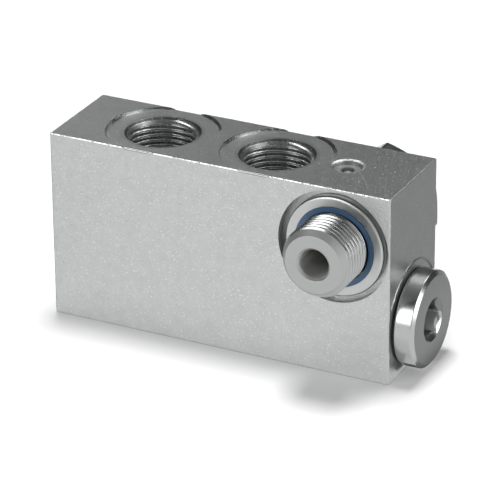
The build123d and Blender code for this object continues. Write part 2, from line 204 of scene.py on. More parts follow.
def put_mesh(name, points, faces, material, smooth=True):
    """Mesh object from arrays of points and faces, with its faces turned outwards."""
    mesh = bpy.data.meshes.new(name)
    flat = [face.tolist() for part in faces for face in part]
    mesh.from_pydata(points.reshape(-1, 3).tolist(), [], flat)
    work = bmesh.new()
    work.from_mesh(mesh)
    bmesh.ops.recalc_face_normals(work, faces=work.faces)
    work.to_mesh(mesh)
    work.free()
    mesh.polygons.foreach_set("use_smooth", np.full(len(mesh.polygons), smooth))
    mesh.materials.append(material)
    mesh.update()
    piece = bpy.data.objects.new(name, mesh)
    bpy.context.scene.collection.objects.link(piece)
    return piece


def put_turned(name, rows, centre, axis, zero, material, closed_rows=False):
    """Turned piece: a ring when its rows close, otherwise a body with a pole at each end."""
    count, columns = rows.shape[:2]
    points = turned_points(rows, centre, axis, zero).reshape(-1, 3)
    faces = [grid_quads(count, columns, closed_rows)]
    if not closed_rows:
        heights = rows[[0, -1], 0, 1]
        poles = (np.array(centre, float) + heights[:, None] * np.array(axis, float)) * MM
        points = np.concatenate([points, poles])
        faces += end_triangles(count, columns)
    return put_mesh(name, points, faces, material)


def put_carried(name, points, material, smooth=True):
    """Piece whose section is carried along a path, with a pole in the middle of each end.

    Points are in millimetres, one row for each station of the path.
    """
    count, sides = points.shape[:2]
    ends = points[[0, -1]].mean(axis=1)
    flat = np.concatenate([points.reshape(-1, 3), ends]) * MM
    faces = [grid_quads(count, sides, False), *end_triangles(count, sides)]
    return put_mesh(name, flat, faces, material, smooth)


# ---- Finishes ----


def colour(code):
    """Linear colour of an sRGB hex code, by the sRGB curve."""
    value = np.array([int(code[i : i + 2], 16) for i in (0, 2, 4)]) / 255
    linear = np.where(value <= 0.04045, value / 12.92, ((value + 0.055) / 1.055) ** 2.4)
    return (*linear.tolist(), 1.0)


def add(tree, kind, inputs=None, **settings):
    """Adds one node, makes its settings, and fills its inputs or links them.

    A node that is given as an input stands for its first output in use.
    """
    node = tree.nodes.new(kind)
    for name, value in settings.items():
        setattr(node, name, value)
    for socket, value in (inputs or {}).items():
        if isinstance(value, bpy.types.Node):
            value = next(output for output in value.outputs if output.enabled)
        if isinstance(value, bpy.types.NodeSocket):
            tree.links.new(value, node.inputs[socket])
        else:
            node.inputs[socket].default_value = value
    return node


def evened(noise, low=0.0, high=1.0):
    """Map Range inputs that carry a noise, which mostly lies within 0.3 to 0.7, to low..high."""
    source = {"Value": noise, "From Min": 0.3, "From Max": 0.7}
    return {**source, "To Min": low, "To Max": high}


def emptied(holder):
    """Node tree of a material or a world, without its first nodes."""
    holder.use_nodes = True
    holder.node_tree.nodes.clear()
    return holder.node_tree


def made(name, surface, *values):
    """New material, with the shader inputs that a surface function works out for its values."""
    material = bpy.data.materials.new(name)
    tree = emptied(material)
    place = add(tree, "ShaderNodeTexCoord").outputs["Object"]
    shader = add(tree, "ShaderNodeBsdfPrincipled", surface(tree, place, *values))
    add(tree, "ShaderNodeOutputMaterial", {"Surface": shader})
    return material


def axis_offset(tree, place, centre, axis):
    """Distance from an axis, the way along it, and the offset from its centre, in metres.

    The way is the offset's dot product with the axis. The distance is the length of the offset
    without that part.
    """
    offset = add(tree, "ShaderNodeVectorMath", {0: place, 1: centre}, operation="SUBTRACT")
    along = add(tree, "ShaderNodeVectorMath", {0: offset, 1: axis}, operation="DOT_PRODUCT")
    square = tuple(1.0 - abs(a) for a in axis)
    across = add(tree, "ShaderNodeVectorMath", {0: offset, 1: square}, operation="MULTIPLY")
    distance = add(tree, "ShaderNodeVectorMath", {0: across}, operation="LENGTH")
    return distance, along, offset


def zone(tree, *fades):
    """1 inside a zone of the surface and 0 outside it: the product of its fades.

    Each fade names a distance, and the two places in millimetres between which it goes from 0 to 1.
    """
    share = 1.0
    for distance, start, end in fades:
        limits = {"Value": distance, "From Min": start * MM, "From Max": end * MM}
        fade = add(tree, "ShaderNodeMapRange", limits)
        share = add(tree, "ShaderNodeMath", {0: share, 1: fade}, operation="MULTIPLY")
    return share


def tumbled_zinc(tree, place):
    """Bright zinc over drawn steel bar, tumbled after machining.

    Tumbling leaves a grain of dents about 0.4 mm across, which gives the faces an even grey, and a
    few deeper dents. Bright specks are painted glints in the colour. The spot faces round the ports
    are milled and smoother, and the far side of their walls shines most. The left part of the
    washer's recess and the ports' cones are painted darker: painted shade.
    """
    # Width in millimetres, detail and roughness of the grain, clouds, dents and painted glints
    blotches = ((0.42, 2.0, 0.7), (2.2, 4.0, 0.6), (0.5, 0.0, 0.5), (0.4, 0.0, 0.5))
    # Radii of the recess, of a port's cone and spot face, and of the wall round that
    recess_r, cone_r, spot_r, wall_inner_r, wall_outer_r = 13.7, 9.6, 13.1, 12.7, 13.4
    edge, spot_edge = 0.1, 0.15
    far_side = (-0.25, 0.97, 0.0)

    x, y, z = add(tree, "ShaderNodeSeparateXYZ", {"Vector": place}).outputs
    noises = [
        {"Vector": place, "Scale": 1 / (width * MM), "Detail": detail, "Roughness": rough}
        for width, detail, rough in blotches
    ]
    grain, clouds, dents, painted_glints = (add(tree, "ShaderNodeTexNoise", noise) for noise in noises)
    clouds = add(tree, "ShaderNodeMapRange", evened(clouds))

    # Painted shade in the left part of the recess, from a little behind the washer's face on
    stud = mount("cylinder_stud")["pos_m"]
    stud_x = stud[0] / MM
    recess_y = box_in_mm("front_washer_ring")[0][1] + 0.35
    off_stud = axis_offset(tree, place, stud, (0.0, 1.0, 0.0))[0]
    hidden = zone(
        tree,
        (off_stud, recess_r + edge, recess_r - edge),
        (y, recess_y, recess_y + 0.3),
        (x, stud_x - 4, stud_x - 10),
    )
    layers = [(clouds, "C1C4C3"), (hidden, "989B9A")]

    # Heights from the top of the ports' thread, which lies just under the spot faces
    port = mount("port_1")
    mouth = port["pos_m"][2] / MM + port["dims"]["length_mm"] / 2
    on_top, below = (z, mouth + 0.3, mouth + 0.5), (z, mouth + 0.6, mouth + 0.4)
    milled = rim = 0.0
    for name in ("port_1", "port_2"):
        off_port, _, offset = axis_offset(tree, place, mount(name)["pos_m"], (0.0, 0.0, 1.0))
        far = add(tree, "ShaderNodeVectorMath", {0: offset, 1: far_side}, operation="DOT_PRODUCT")
        # Painted shade in each port's mouth cone
        cone = zone(tree, (off_port, cone_r + edge, cone_r - edge), below)
        layers.append((cone, "6E706F"))
        spot = zone(tree, (off_port, spot_r + spot_edge, spot_r - spot_edge), on_top)
        wall = zone(
            tree,
            (off_port, wall_inner_r - edge, wall_inner_r + edge),
            (off_port, wall_outer_r + edge, wall_outer_r - edge),
            (far, 2.0, 3.5),
            on_top,
        )
        milled = add(tree, "ShaderNodeMath", {0: milled, 1: spot}, operation="MAXIMUM")
        rim = add(tree, "ShaderNodeMath", {0: rim, 1: wall}, operation="MAXIMUM")

    # Painted glints: bright specks in the colour, left out of the recess's painted shade
    painted_glints = add(tree, "ShaderNodeMapRange", {"Value": painted_glints, "From Min": 0.66, "From Max": 0.8})
    outside_recess_shade = add(tree, "ShaderNodeMath", {0: 1.0, 1: hidden}, operation="SUBTRACT")
    painted_glints = add(tree, "ShaderNodeMath", {0: painted_glints, 1: outside_recess_shade}, operation="MULTIPLY")
    layers.append((painted_glints, "D6D8D7"))
    paint = colour("BABDBC")
    for share, code in layers:
        coat = {"Factor": share, "A": paint, "B": colour(code)}
        paint = add(tree, "ShaderNodeMix", coat, data_type="RGBA")

    rough = add(tree, "ShaderNodeMapRange", evened(grain, 0.3, 0.42))
    for share, smooth in ((milled, 0.37), (rim, 0.14)):
        finer = {"Factor": share, "A": rough, "B": smooth}
        rough = add(tree, "ShaderNodeMix", finer, data_type="FLOAT")

    dents = add(tree, "ShaderNodeMapRange", {"Value": dents, "From Min": 0.7, "From Max": 0.8})
    height = {0: dents, 1: -0.6, 2: grain}
    height = add(tree, "ShaderNodeMath", height, operation="MULTIPLY_ADD")
    relief = {"Height": height, "Strength": 0.7, "Distance": 0.1 * MM}
    relief = add(tree, "ShaderNodeBump", relief)
    return {"Base Color": paint, "Metallic": 1.0, "Roughness": rough, "Normal": relief}


def turned_zinc(
    tree, place, code, centre, axis, roughness, dull=(0.0, 0.0), mark=0.012, coarse_end=-100.0
):
    """Bright zinc over turned steel: rings about 0.1 mm apart, drawn at 0.25 mm so they show.

    The rings are noise over the distance from the axis and the way along it. Inside the dull radius
    and length lies the drilled way, which the plating bath hardly reaches: its wall has the matt
    grey of scale instead of the metal's shine. Up to the coarse length the end is turned with a
    worn tool and stays rougher. Lengths are in millimetres.
    """
    ring_mm, stain_mm, edge, tip_edge, coarse_roughness = 0.25, 2.5, 0.05, 0.1, 0.5
    distance, along, _ = axis_offset(tree, place, centre, axis)
    pair = add(tree, "ShaderNodeCombineXYZ", {"X": distance, "Y": along})
    rings = add(tree, "ShaderNodeTexNoise", {"Vector": pair, "Scale": 1 / (ring_mm * MM)})
    stain = {"Vector": place, "Scale": 1 / (stain_mm * MM), "Detail": 3.0}
    stain = add(tree, "ShaderNodeTexNoise", stain)
    dull_r, dull_end = dull
    dull = zone(
        tree, (distance, dull_r + edge, dull_r - edge), (along, dull_end + edge, dull_end - edge)
    )
    coat = {"Factor": dull, "A": colour(code), "B": colour("C4C4C2")}
    paint = add(tree, "ShaderNodeMix", coat, data_type="RGBA")
    metal = add(tree, "ShaderNodeMath", {0: 1.0, 1: dull}, operation="SUBTRACT")
    smooth = evened(stain, roughness * 0.85, roughness * 1.2)
    smooth = add(tree, "ShaderNodeMapRange", smooth)
    coarse = zone(tree, (along, coarse_end + tip_edge, coarse_end - tip_edge))
    rough = {"Factor": coarse, "A": smooth, "B": coarse_roughness}
    rough = add(tree, "ShaderNodeMix", rough, data_type="FLOAT")
    relief = {"Height": rings, "Strength": 0.3, "Distance": mark * MM}
    relief = add(tree, "ShaderNodeBump", relief)
    return {"Base Color": paint, "Metallic": metal, "Roughness": rough, "Normal": relief}


def cut_thread_zinc(tree, place):
    """Zinc over cut thread flanks: torn, glinting patches about 1 mm across on a bright base."""
    tear_mm = 1.1
    tear = {"Vector": place, "Scale": 1 / (tear_mm * MM), "Detail": 3.0, "Roughness": 0.6}
    tear = add(tree, "ShaderNodeTexNoise", tear)
    share = add(tree, "ShaderNodeMapRange", evened(tear))
    coat = {"Factor": share, "A": colour("D0D2D1"), "B": colour("B0B2B1")}
    paint = add(tree, "ShaderNodeMix", coat, data_type="RGBA")
    rough = add(tree, "ShaderNodeMapRange", evened(tear, 0.24, 0.34))
    relief = {"Height": tear, "Strength": 0.5, "Distance": 0.07 * MM}
    relief = add(tree, "ShaderNodeBump", relief)
    return {"Base Color": paint, "Metallic": 1.0, "Roughness": rough, "Normal": relief}


def one_grain(tree, place, code, metallic, roughness, grain_mm, depth_mm):
    """A finish with one fine grain, which varies its shine a little."""
    grain = add(tree, "ShaderNodeTexNoise", {"Vector": place, "Scale": 1 / (grain_mm * MM)})
    rough = evened(grain, roughness * 0.8, roughness * 1.2)
    rough = add(tree, "ShaderNodeMapRange", rough)
    relief = {"Height": grain, "Strength": 0.3, "Distance": depth_mm * MM}
    relief = add(tree, "ShaderNodeBump", relief)
    paint = colour(code)
    return {"Base Color": paint, "Metallic": metallic, "Roughness": rough, "Normal": relief}


# Name, colour, metallic, roughness, and the width and depth of the one grain in millimetres
PLAIN_FINISHES = {
    # Hardened, then ground: an even, dull grey
    "hardened_steel": ("hardened_ground_steel", "A4A6A6", 1.0, 0.55, 0.3, 0.01),
    # Drawn through a die: dark and half bright
    "spring_steel": ("drawn_spring_steel", "8A8A8C", 1.0, 0.35, 0.2, 0.01),
    # Moulded in a polished tool: a soft sheen
    "blue_rubber": ("blue_nitrile_rubber", "4C6C8E", 0.0, 0.35, 0.4, 0.005),
    # Moulded in a plain tool: nearly matt
    "black_rubber": ("black_nitrile_rubber", "1B1B1C", 0.0, 0.5, 0.4, 0.005),
    # Turned from pressed bar: a waxy white
    "white_ptfe": ("white_machined_ptfe", "E6E6E2", 0.0, 0.5, 0.4, 0.005),
}
THREAD_FINISH = "port_thread_finish"
PLUG_FINISH = "end_plug_finish"
WASHER_FINISH = "washer_finish"
# Materials made so far
FINISHES = {}


def zinc(slot):
    """Name, surface function and values of a zinc plated finish."""
    stud = mount("cylinder_stud")["pos_m"]
    low, high = box_in_mm("end_plug")
    plug = (0.0, 0.0, (low[2] + high[2]) / 2 * MM)
    along_x, along_y = (1.0, 0.0, 0.0), (0.0, 1.0, 0.0)
    # Dull way, depth of the marks, coarse end
    bolt, washer = ((3.6, 25.0), 0.012, -4.3), ((0.0, 0.0), 0.03)
    return {
        BLOCK: ("zinc_plated_tumbled_steel", tumbled_zinc),
        THREAD_FINISH: ("zinc_plated_cut_thread", cut_thread_zinc),
        FITTING: ("zinc_plated_turned_bolt", turned_zinc, "B0B2B1", stud, along_y, 0.22, *bolt),
        PLUG_FINISH: ("zinc_plated_turned_plug", turned_zinc, "B4B6B5", plug, along_x, 0.22),
        WASHER_FINISH: (
            "zinc_plated_turned_washer", turned_zinc, "BEC0BF", stud, along_y, 0.32, *washer
        ),
    }[slot]


def finish(slot):
    """The material of a slot or of a piece, made when it is first asked for."""
    if slot not in FINISHES:
        if slot in PLAIN_FINISHES:
            name, *values = PLAIN_FINISHES[slot]
            FINISHES[slot] = made(name, one_grain, *values)
        else:
            FINISHES[slot] = made(*zinc(slot))
    return FINISHES[slot]


# ---- Sizes and colours that a user may change ----


def length(name, description, size):
    """Property for a length, whose default is given in millimetres."""
    return FloatProperty(
        name=name, description=description, default=size * MM, unit="LENGTH", precision=6
    )


def power(name, description, watts):
    """Property for a lamp's power."""
    return FloatProperty(name=name, description=description, default=watts, subtype="POWER")


class ValveThreadSizes(bpy.types.PropertyGroup):
    """The three-eighths parallel pipe thread that the solids leave plain."""

    thread_pitch: length("Pitch", "From crest to crest", 1.337)
    thread_depth: length("Depth", "From crest to root", 0.84)
    rows_per_pitch: IntProperty(
        name="Rows per pitch", description="Mesh rows in one pitch", default=24
    )
    columns: IntProperty(name="Columns", description="Mesh columns in one turn", default=144)


class ValveBoltSizes(bpy.types.PropertyGroup):
    """Edges and steps of the hollow bolt and its washers."""

    head_flats: length("Head across flats", "Key size", 22)
    head_chamfer: length("Head chamfer", "Diameter where the cone meets the head's face", 20.9)
    way: length("Oil way", "Diameter", 7)
    edge: length("Edge", "Easing of turned edges", 0.15)
    washer_edge: length("Washer edge", "Easing of the rings' edges", 0.55)


class ValvePlugSizes(bpy.types.PropertyGroup):
    """Edges and socket of the end plug."""

    socket_flats: length("Socket across flats", "Key size", 8)
    socket_mouth: length("Socket mouth", "Diameter of the chamfer", 10.4)
    socket_depth: length("Socket depth", "From the face", 6)
    socket_turn: FloatProperty(
        name="Socket turn", description="Of a flat", default=math.radians(28.5), unit="ROTATION"
    )
    chamfer: length("Front chamfer", "Across its face", 1.0)
    chamfer_height: length("Front chamfer height", "Along the axis", 0.7)
    groove_depth: length("Seal groove", "Depth in the head", 0.8)
    edge: length("Edge", "Easing of turned edges", 0.12)


class ValveSpringSizes(bpy.types.PropertyGroup):
    """The poppet's spring."""

    wire: length("Wire", "Diameter", 0.6)
    open_turns: FloatProperty(
        name="Open turns", description="Turns between the end turns", default=4.0
    )


class ValveStudio(bpy.types.PropertyGroup):
    """Floor, lamps and camera."""

    lens: FloatProperty(
        name="Lens", description="Focal length", default=242.36, subtype="DISTANCE_CAMERA"
    )
    key_power: power("Key", "Softbox in front on the left", 2.6)
    floor_power: power("Floor", "Softbox overhead, for the paper", 10.0)
    top_power: power("Top", "Softbox above on the right", 0.6)
    overhead_power: power("Overhead", "Softbox above and behind", 2.9)
    right_power: power("Right", "Softbox at the right", 3.0)
    back_power: power("Back", "Softbox above on the left", 2.3)
    rear_power: power("Rear", "Low softbox behind on the left", 0.26)
    front_power: power("Front", "Softbox high in front", 1.1)
    room: FloatVectorProperty(
        name="Room", description="Plain grey", default=colour("484848")[:3], subtype="COLOR"
    )
    seen_white: FloatProperty(
        name="Seen white", description="Share of white seen in the floor", default=0.25
    )
    mirrored_white: FloatProperty(
        name="Mirrored white", description="Share of white in the floor's reflection", default=0.75
    )


# ---- Pieces ----


class VALVE_OT_port_threads(bpy.types.Operator):
    """Thread in each of the three ports"""

    bl_idname = "valve.port_threads"
    bl_label = "Port threads"

    def execute(self, context):
        """Threaded sleeves whose outer walls lie in the block's metal.

        A sleeve's bore is the thread's wave, cut back by the 45 degree cone of the mouth, where the
        radius is the mouth's radius less the depth.
        """
        sunk, wall, run_in, run_out = 0.02, 0.15, 1.2, 0.01
        thread = context.scene.valve_thread
        for name in ("port_1", "port_2", "port_3"):
            port = mount(name)
            major = port["dims"]["r_mm"]
            top = port["dims"]["length_mm"] / 2
            bore = thread_rows(thread, -top, top, major - sunk, ROOT_R, run_in, run_out)
            bore[..., :1] = np.maximum(bore[..., :1], major - (top - bore[..., 1:]))
            outside = rows_of([(major + wall, top), (major + wall, -top)], thread.columns)
            rows = np.concatenate([bore, outside])
            axis = port["axis"]
            zero = (1, 0, 0) if abs(axis[2]) > 0.5 else (0, 0, 1)
            centre = np.array(port["pos_m"]) / MM
            metal = finish(THREAD_FINISH)
            piece = put_turned(name + "_thread", rows, centre, axis, zero, metal, closed_rows=True)
            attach(piece, "block")
        return {"FINISHED"}


class VALVE_OT_hollow_bolt(bpy.types.Operator):
    """Hollow bolt with its hexagon head, cross holes and threaded end"""

    bl_idname = "valve.hollow_bolt"
    bl_label = "Hollow bolt"

    def execute(self, context):
        """Outline from the head's face over the shank to the tip, and back down the oil way.

        Heights run from the block's middle towards the tip. The tip's 45 degree cone cuts the
        thread back to the major radius less the way past the cone's foot.
        """
        collar_r, land_r, shoulder_r, neck_r = 10.6, 8.1, 7.3, 6.4
        head_height, collar, land, slope = 8.0, 0.25, 5.0, 0.8
        neck_from_tip, thread_length, tip_chamfer = 16.7, 10.3, 1.48
        run_in, run_out, way_chamfer, way_end = 0.9, 0.01, 0.5, -3.5
        drill_cone = math.tan(math.radians(31))
        sizes = context.scene.valve_bolt
        thread = context.scene.valve_thread
        lowest, highest = box_in_mm("hollow_bolt")
        stud = mount("cylinder_stud")
        centre = np.array([stud["pos_m"][0] / MM, 0.0, stud["pos_m"][2] / MM])
        edge = sizes.edge / MM
        back, tip = -highest[1], -lowest[1]
        bearing = back + head_height
        thread_start = tip - thread_length
        major = stud["dims"]["r_mm"]
        neck_start, neck_end = bearing + land + slope, tip - neck_from_tip
        shank = [(collar_r, bearing - collar), (collar_r, bearing), (land_r, bearing)]
        shank += [(land_r, bearing + land), (shoulder_r, neck_start), (neck_r, neck_start)]
        shank += [(neck_r, neck_end), (shoulder_r, neck_end), (land_r, neck_end + slope)]
        shank += [(land_r, thread_start)]
        ridge = thread_rows(thread, thread_start, tip - 0.02, major, land_r, run_in, run_out)
        ridge[..., :1] = np.minimum(ridge[..., :1], major + tip - tip_chamfer - ridge[..., 1:])
        way = sizes.way / MM / 2
        tip_r = major - tip_chamfer
        end_and_way = [(tip_r, tip), (tip_r - 0.06, tip), (way + way_chamfer, tip)]
        end_and_way += [(way, tip - way_chamfer), (way, way_end)]
        end_and_way += [(0.05, way_end - way * drill_cone)]
        columns = thread.columns
        head = self.head_rows(sizes, back, bearing - collar, columns)
        shank, end_and_way = eased(shank, edge, columns), eased(end_and_way, edge, columns)
        rows = np.concatenate([head, shank, ridge, end_and_way])
        piece = put_turned(
            "hollow_bolt_turned", rows, centre, (0, -1, 0), (1, 0, 0), finish(FITTING)
        )
        self.drill(piece, centre)
        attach(piece, "block")
        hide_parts("hollow_bolt")
        return {"FINISHED"}

    def head_rows(self, sizes, back, underside, columns):
        """Rows of the head, from the middle of its face to its underside.

        The hexagon's radius is half the flats over (sum of max(0, cos(angle - flat))^p)^(1/p), a
        hexagon whose corners are a little rounded. The face's cone rises at 30 degrees, so each
        column meets it at its own height. Small steps round the edges.
        """
        turn, sharpness, lift = math.radians(35), 90.0, np.tan(math.radians(30))
        half_flats = sizes.head_flats / MM / 2
        face_r = sizes.head_chamfer / MM / 2
        flats = turn + SIXTH_TURN / 2 + np.arange(6) * SIXTH_TURN
        facing = np.maximum(0, np.cos(around(columns)[None, :] - flats[:, None]))
        hexagon = half_flats / np.sum(facing**sharpness, axis=0) ** (1 / sharpness)
        cone_h = back + (hexagon - face_r) * lift
        rows = [(0.6, back), (5.0, back), (face_r - 0.3, back), (face_r - 0.1, back)]
        rows += [(face_r + 0.06, back + 0.03), (hexagon - 0.12, cone_h - 0.12 * lift)]
        rows += [(hexagon - 0.03, cone_h + 0.03), (hexagon, cone_h + 0.14)]
        rows += [(hexagon, underside - 0.2), (hexagon - 0.03, underside - 0.06)]
        rows += [(hexagon - 0.12, underside)]
        return rows_of(rows, columns)

    def drill(self, piece, centre):
        """Cuts the two cross holes through the neck."""
        drill_r, reach, sides = 2.5, 7.5, 48
        rows = rows_of([(drill_r, -reach), (drill_r, reach)], sides)
        cutters = [
            put_turned("cross_drill", rows, centre, axis, zero, finish(FITTING))
            for axis, zero in (((1, 0, 0), (0, 1, 0)), ((0, 0, 1), (1, 0, 0)))
        ]
        for cutter in cutters:
            cut = piece.modifiers.new("cross_hole", "BOOLEAN")
            cut.operation = "DIFFERENCE"
            cut.solver = "EXACT"
            cut.object = cutter
        settle_modifiers(piece)
        for cutter in cutters:
            mesh = cutter.data
            bpy.data.objects.remove(cutter)
            bpy.data.meshes.remove(mesh)


def settle_modifiers(piece):
    """Keeps the shape that a piece's modifiers give it, and takes them off."""
    shaped = piece.evaluated_get(bpy.context.evaluated_depsgraph_get())
    mesh = bpy.data.meshes.new_from_object(shaped)
    old = piece.data
    piece.modifiers.clear()
    piece.data = mesh
    mesh.name = old.name
    bpy.data.meshes.remove(old)


class VALVE_OT_washer_rings(bpy.types.Operator):
    """Steel rings of the two bonded washers, with rounded edges"""

    bl_idname = "valve.washer_rings"
    bl_label = "Washer rings"

    def execute(self, context):
        """Square ring section whose outer corners are rounded, turned about the middle of its box.

        The section starts and ends in the middle of its inner wall, a little apart, so that the
        two edges by the rubber lip are eased far less than the outer two.
        """
        sunk, flat, apart = 0.02, 0.12, 0.01
        edge = context.scene.valve_bolt.washer_edge / MM
        for side in ("front", "rear"):
            lowest, highest = box_in_mm(side + "_washer_ring")
            lip_low, lip_high = box_in_mm(side + "_washer_lip")
            centre = (lowest + highest) / 2 * (1, 0, 1)
            outer = (highest[0] - lowest[0]) / 2
            inner = (lip_high[0] - lip_low[0]) / 2 + sunk
            start, end = lowest[1], highest[1]
            middle, sharp = (start + end) / 2, inner + flat
            outline = [(inner, middle), (inner, end), (sharp, end), (outer, end)]
            outline += [(outer, start), (sharp, start), (inner, start), (inner, middle - apart)]
            rows = eased(outline, edge, context.scene.valve_thread.columns)
            name = side + "_washer_turned"
            material = finish(WASHER_FINISH)
            piece = put_turned(name, rows, centre, (0, 1, 0), (0, 0, 1), material, closed_rows=True)
            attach(piece, "block")
            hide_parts(side + "_washer_ring")
        return {"FINISHED"}


class VALVE_OT_end_plug(bpy.types.Operator):
    """Screw plug with its hexagon socket"""

    bl_idname = "valve.end_plug"
    bl_label = "End plug"

    def execute(self, context):
        """Outline from the spring's pocket over the threaded shank and the head to the socket."""
        pocket_r, crest_r, run_in, run_out = 4.75, 8.311, 0.7, 0.9
        relief, sunk, back_chamfer, rim = 0.6, 0.02, 0.3, 0.3
        sizes = context.scene.valve_plug
        thread = context.scene.valve_thread
        lowest, highest = box_in_mm("end_plug")
        seal_start, seal_end = box_in_mm("end_plug_seal")
        centre = np.array([0.0, 0.0, (lowest[2] + highest[2]) / 2])
        inner, front = lowest[0], highest[0]
        head_r = (highest[2] - lowest[2]) / 2
        edge = sizes.edge / MM
        groove, groove_r = seal_end[0], (seal_end[2] - seal_start[2]) / 2 + sunk
        back = groove - sizes.groove_depth / MM
        pocket_x = spring_joint()["deforming_nodes"][0]["fixed_end_x_m"] / MM
        shank_end = seal_start[0] - relief
        pocket = [(0.05, pocket_x), (pocket_r, pocket_x), (pocket_r, inner), (ROOT_R, inner)]
        shank = thread_rows(thread, inner + 0.01, shank_end, crest_r, ROOT_R, run_in, run_out)
        head = [(ROOT_R, shank_end), (ROOT_R, groove), (groove_r, groove), (groove_r, back)]
        head += [(head_r - back_chamfer, back), (head_r, back + back_chamfer)]
        head += [(head_r, front - sizes.chamfer_height / MM), (head_r - sizes.chamfer / MM, front)]
        head += [(sizes.socket_mouth / MM / 2 + rim, front)]
        columns = thread.columns
        pocket, head = eased(pocket, edge, columns), eased(head, edge, columns)
        rows = np.concatenate([pocket, shank, head, self.socket_rows(sizes, front, columns)])
        piece = put_turned(
            "end_plug_turned", rows, centre, (1, 0, 0), (0, 1, 0), finish(PLUG_FINISH)
        )
        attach(piece, "block")
        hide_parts("end_plug")
        return {"FINISHED"}

    def socket_rows(self, sizes, front, columns):
        """Rows of the socket, from its mouth to the middle of its floor.

        The hexagon's radius is half the flats over the largest cos(angle - flat). The mouth's 45
        degree cone meets it at a height of its own in each column, which gives the scallops. Small
        steps round the edges.
        """
        half_flats = sizes.socket_flats / MM / 2
        mouth_r = sizes.socket_mouth / MM / 2
        floor = front - sizes.socket_depth / MM
        flats = sizes.socket_turn + np.arange(6) * SIXTH_TURN
        facing = np.cos(around(columns)[None, :] - flats[:, None])
        hexagon = half_flats / np.max(facing, axis=0)
        cone_h = front - (mouth_r - hexagon)
        rows = [(mouth_r + 0.1, front), (mouth_r + 0.02, front - 0.01)]
        rows += [(mouth_r - 0.04, front - 0.05), (hexagon + 0.02, cone_h + 0.02)]
        rows += [(hexagon, cone_h - 0.04), (hexagon, floor + 0.1)]
        rows += [(hexagon - 0.03, floor + 0.02), (hexagon - 0.12, floor)]
        rows += [(0.3 * hexagon, floor - 0.3)]
        return rows_of(rows, columns)


class VALVE_OT_edge_burr(bpy.types.Operator):
    """Burr that milling the top face leaves along its front edge"""

    bl_idname = "valve.edge_burr"
    bl_label = "Edge burr"

    def execute(self, context):
        """Rolled-over lip on the eased edge.

        Each station along the edge goes from a section hidden in the metal to one that fills the
        corner with a steep facet, by a share that is a smooth random field. The share is 0 where a
        port's spot face cuts the edge. Sections are (y, z) from the sharp corner, in millimetres.
        """
        hidden = [[0.06, -0.3], [0.09, -0.22], [0.15, -0.15], [0.22, -0.09], [0.3, -0.06]]
        raised = [[0.02, -0.33], [0.0, -0.215], [0.045, -0.11], [0.093, -0.005], [0.25, -0.002]]
        root = [[0.3, -0.3]]
        step, end_gap, spot_half = 0.15, 0.4, 3.7
        absent, present, sway = -1.0, 1.1, 0.35
        hidden, raised = np.array(hidden + root), np.array(raised + root)
        lowest, highest = box_in_mm("valve_body")
        corner = np.array([lowest[1], highest[2]])
        along = np.arange(lowest[0] + end_gap, highest[0] - end_gap, step)
        field = np.random.default_rng(7).normal(size=len(along) + 6)
        field = np.convolve(field, np.full(4, 0.5), "same")[: len(along)]
        ports = [mount(port)["pos_m"][0] / MM for port in ("port_1", "port_2")]
        near_spot = np.abs(along[:, None] - ports).min(axis=1)
        middle = np.where(near_spot < spot_half, absent, present)
        share = np.clip(middle + sway * field, 0, 1)[:, None, None]
        section = corner + hidden + share * (raised - hidden)
        stations = np.repeat(along[:, None, None], len(hidden), axis=1)
        points = np.concatenate([stations, section], axis=-1)
        piece = put_carried("edge_burr", points, finish(FITTING), smooth=False)
        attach(piece, "block")
        return {"FINISHED"}


class VALVE_OT_spot_burr(bpy.types.Operator):
    """Lip that the cutter raises round the plug's spot face"""

    bl_idname = "valve.spot_burr"
    bl_label = "Spot face burr"

    def execute(self, context):
        """Low rounded lip carried along the arc of the spot face that lies inside the block's end.

        A point of the section at radius r and height h lies at x = face + h taper(a), y = r sin a,
        z = axis + r cos a, where a is the angle from the upright. The taper ends the lip softly and
        sways a little at random.
        """
        radius = np.array([[12.9, 12.9, 12.98, 13.1, 13.26, 13.4]])
        height = np.array([[-0.06, 0.08, 0.16, 0.18, 0.11, -0.06]])
        half_arc, stations, soft_end, sway = math.radians(65), 90, 0.12, 0.18
        face = box_in_mm("valve_body")[1][0]
        low, high = box_in_mm("end_plug")
        axis = (low[2] + high[2]) / 2
        angle = np.linspace(-half_arc, half_arc, stations)[:, None]
        wave = np.random.default_rng(3).normal(size=stations)
        wave = 1 + sway * np.convolve(wave, np.full(4, 0.5), "same")[:, None]
        taper = np.clip((half_arc - abs(angle)) / soft_end, 0, 1) * wave
        height = np.where(height > 0, height * taper, height)
        y, z = radius * np.sin(angle), axis + radius * np.cos(angle)
        piece = put_carried("spot_burr", np.stack([face + height, y, z], axis=-1), finish(FITTING))
        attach(piece, "block")
        return {"FINISHED"}


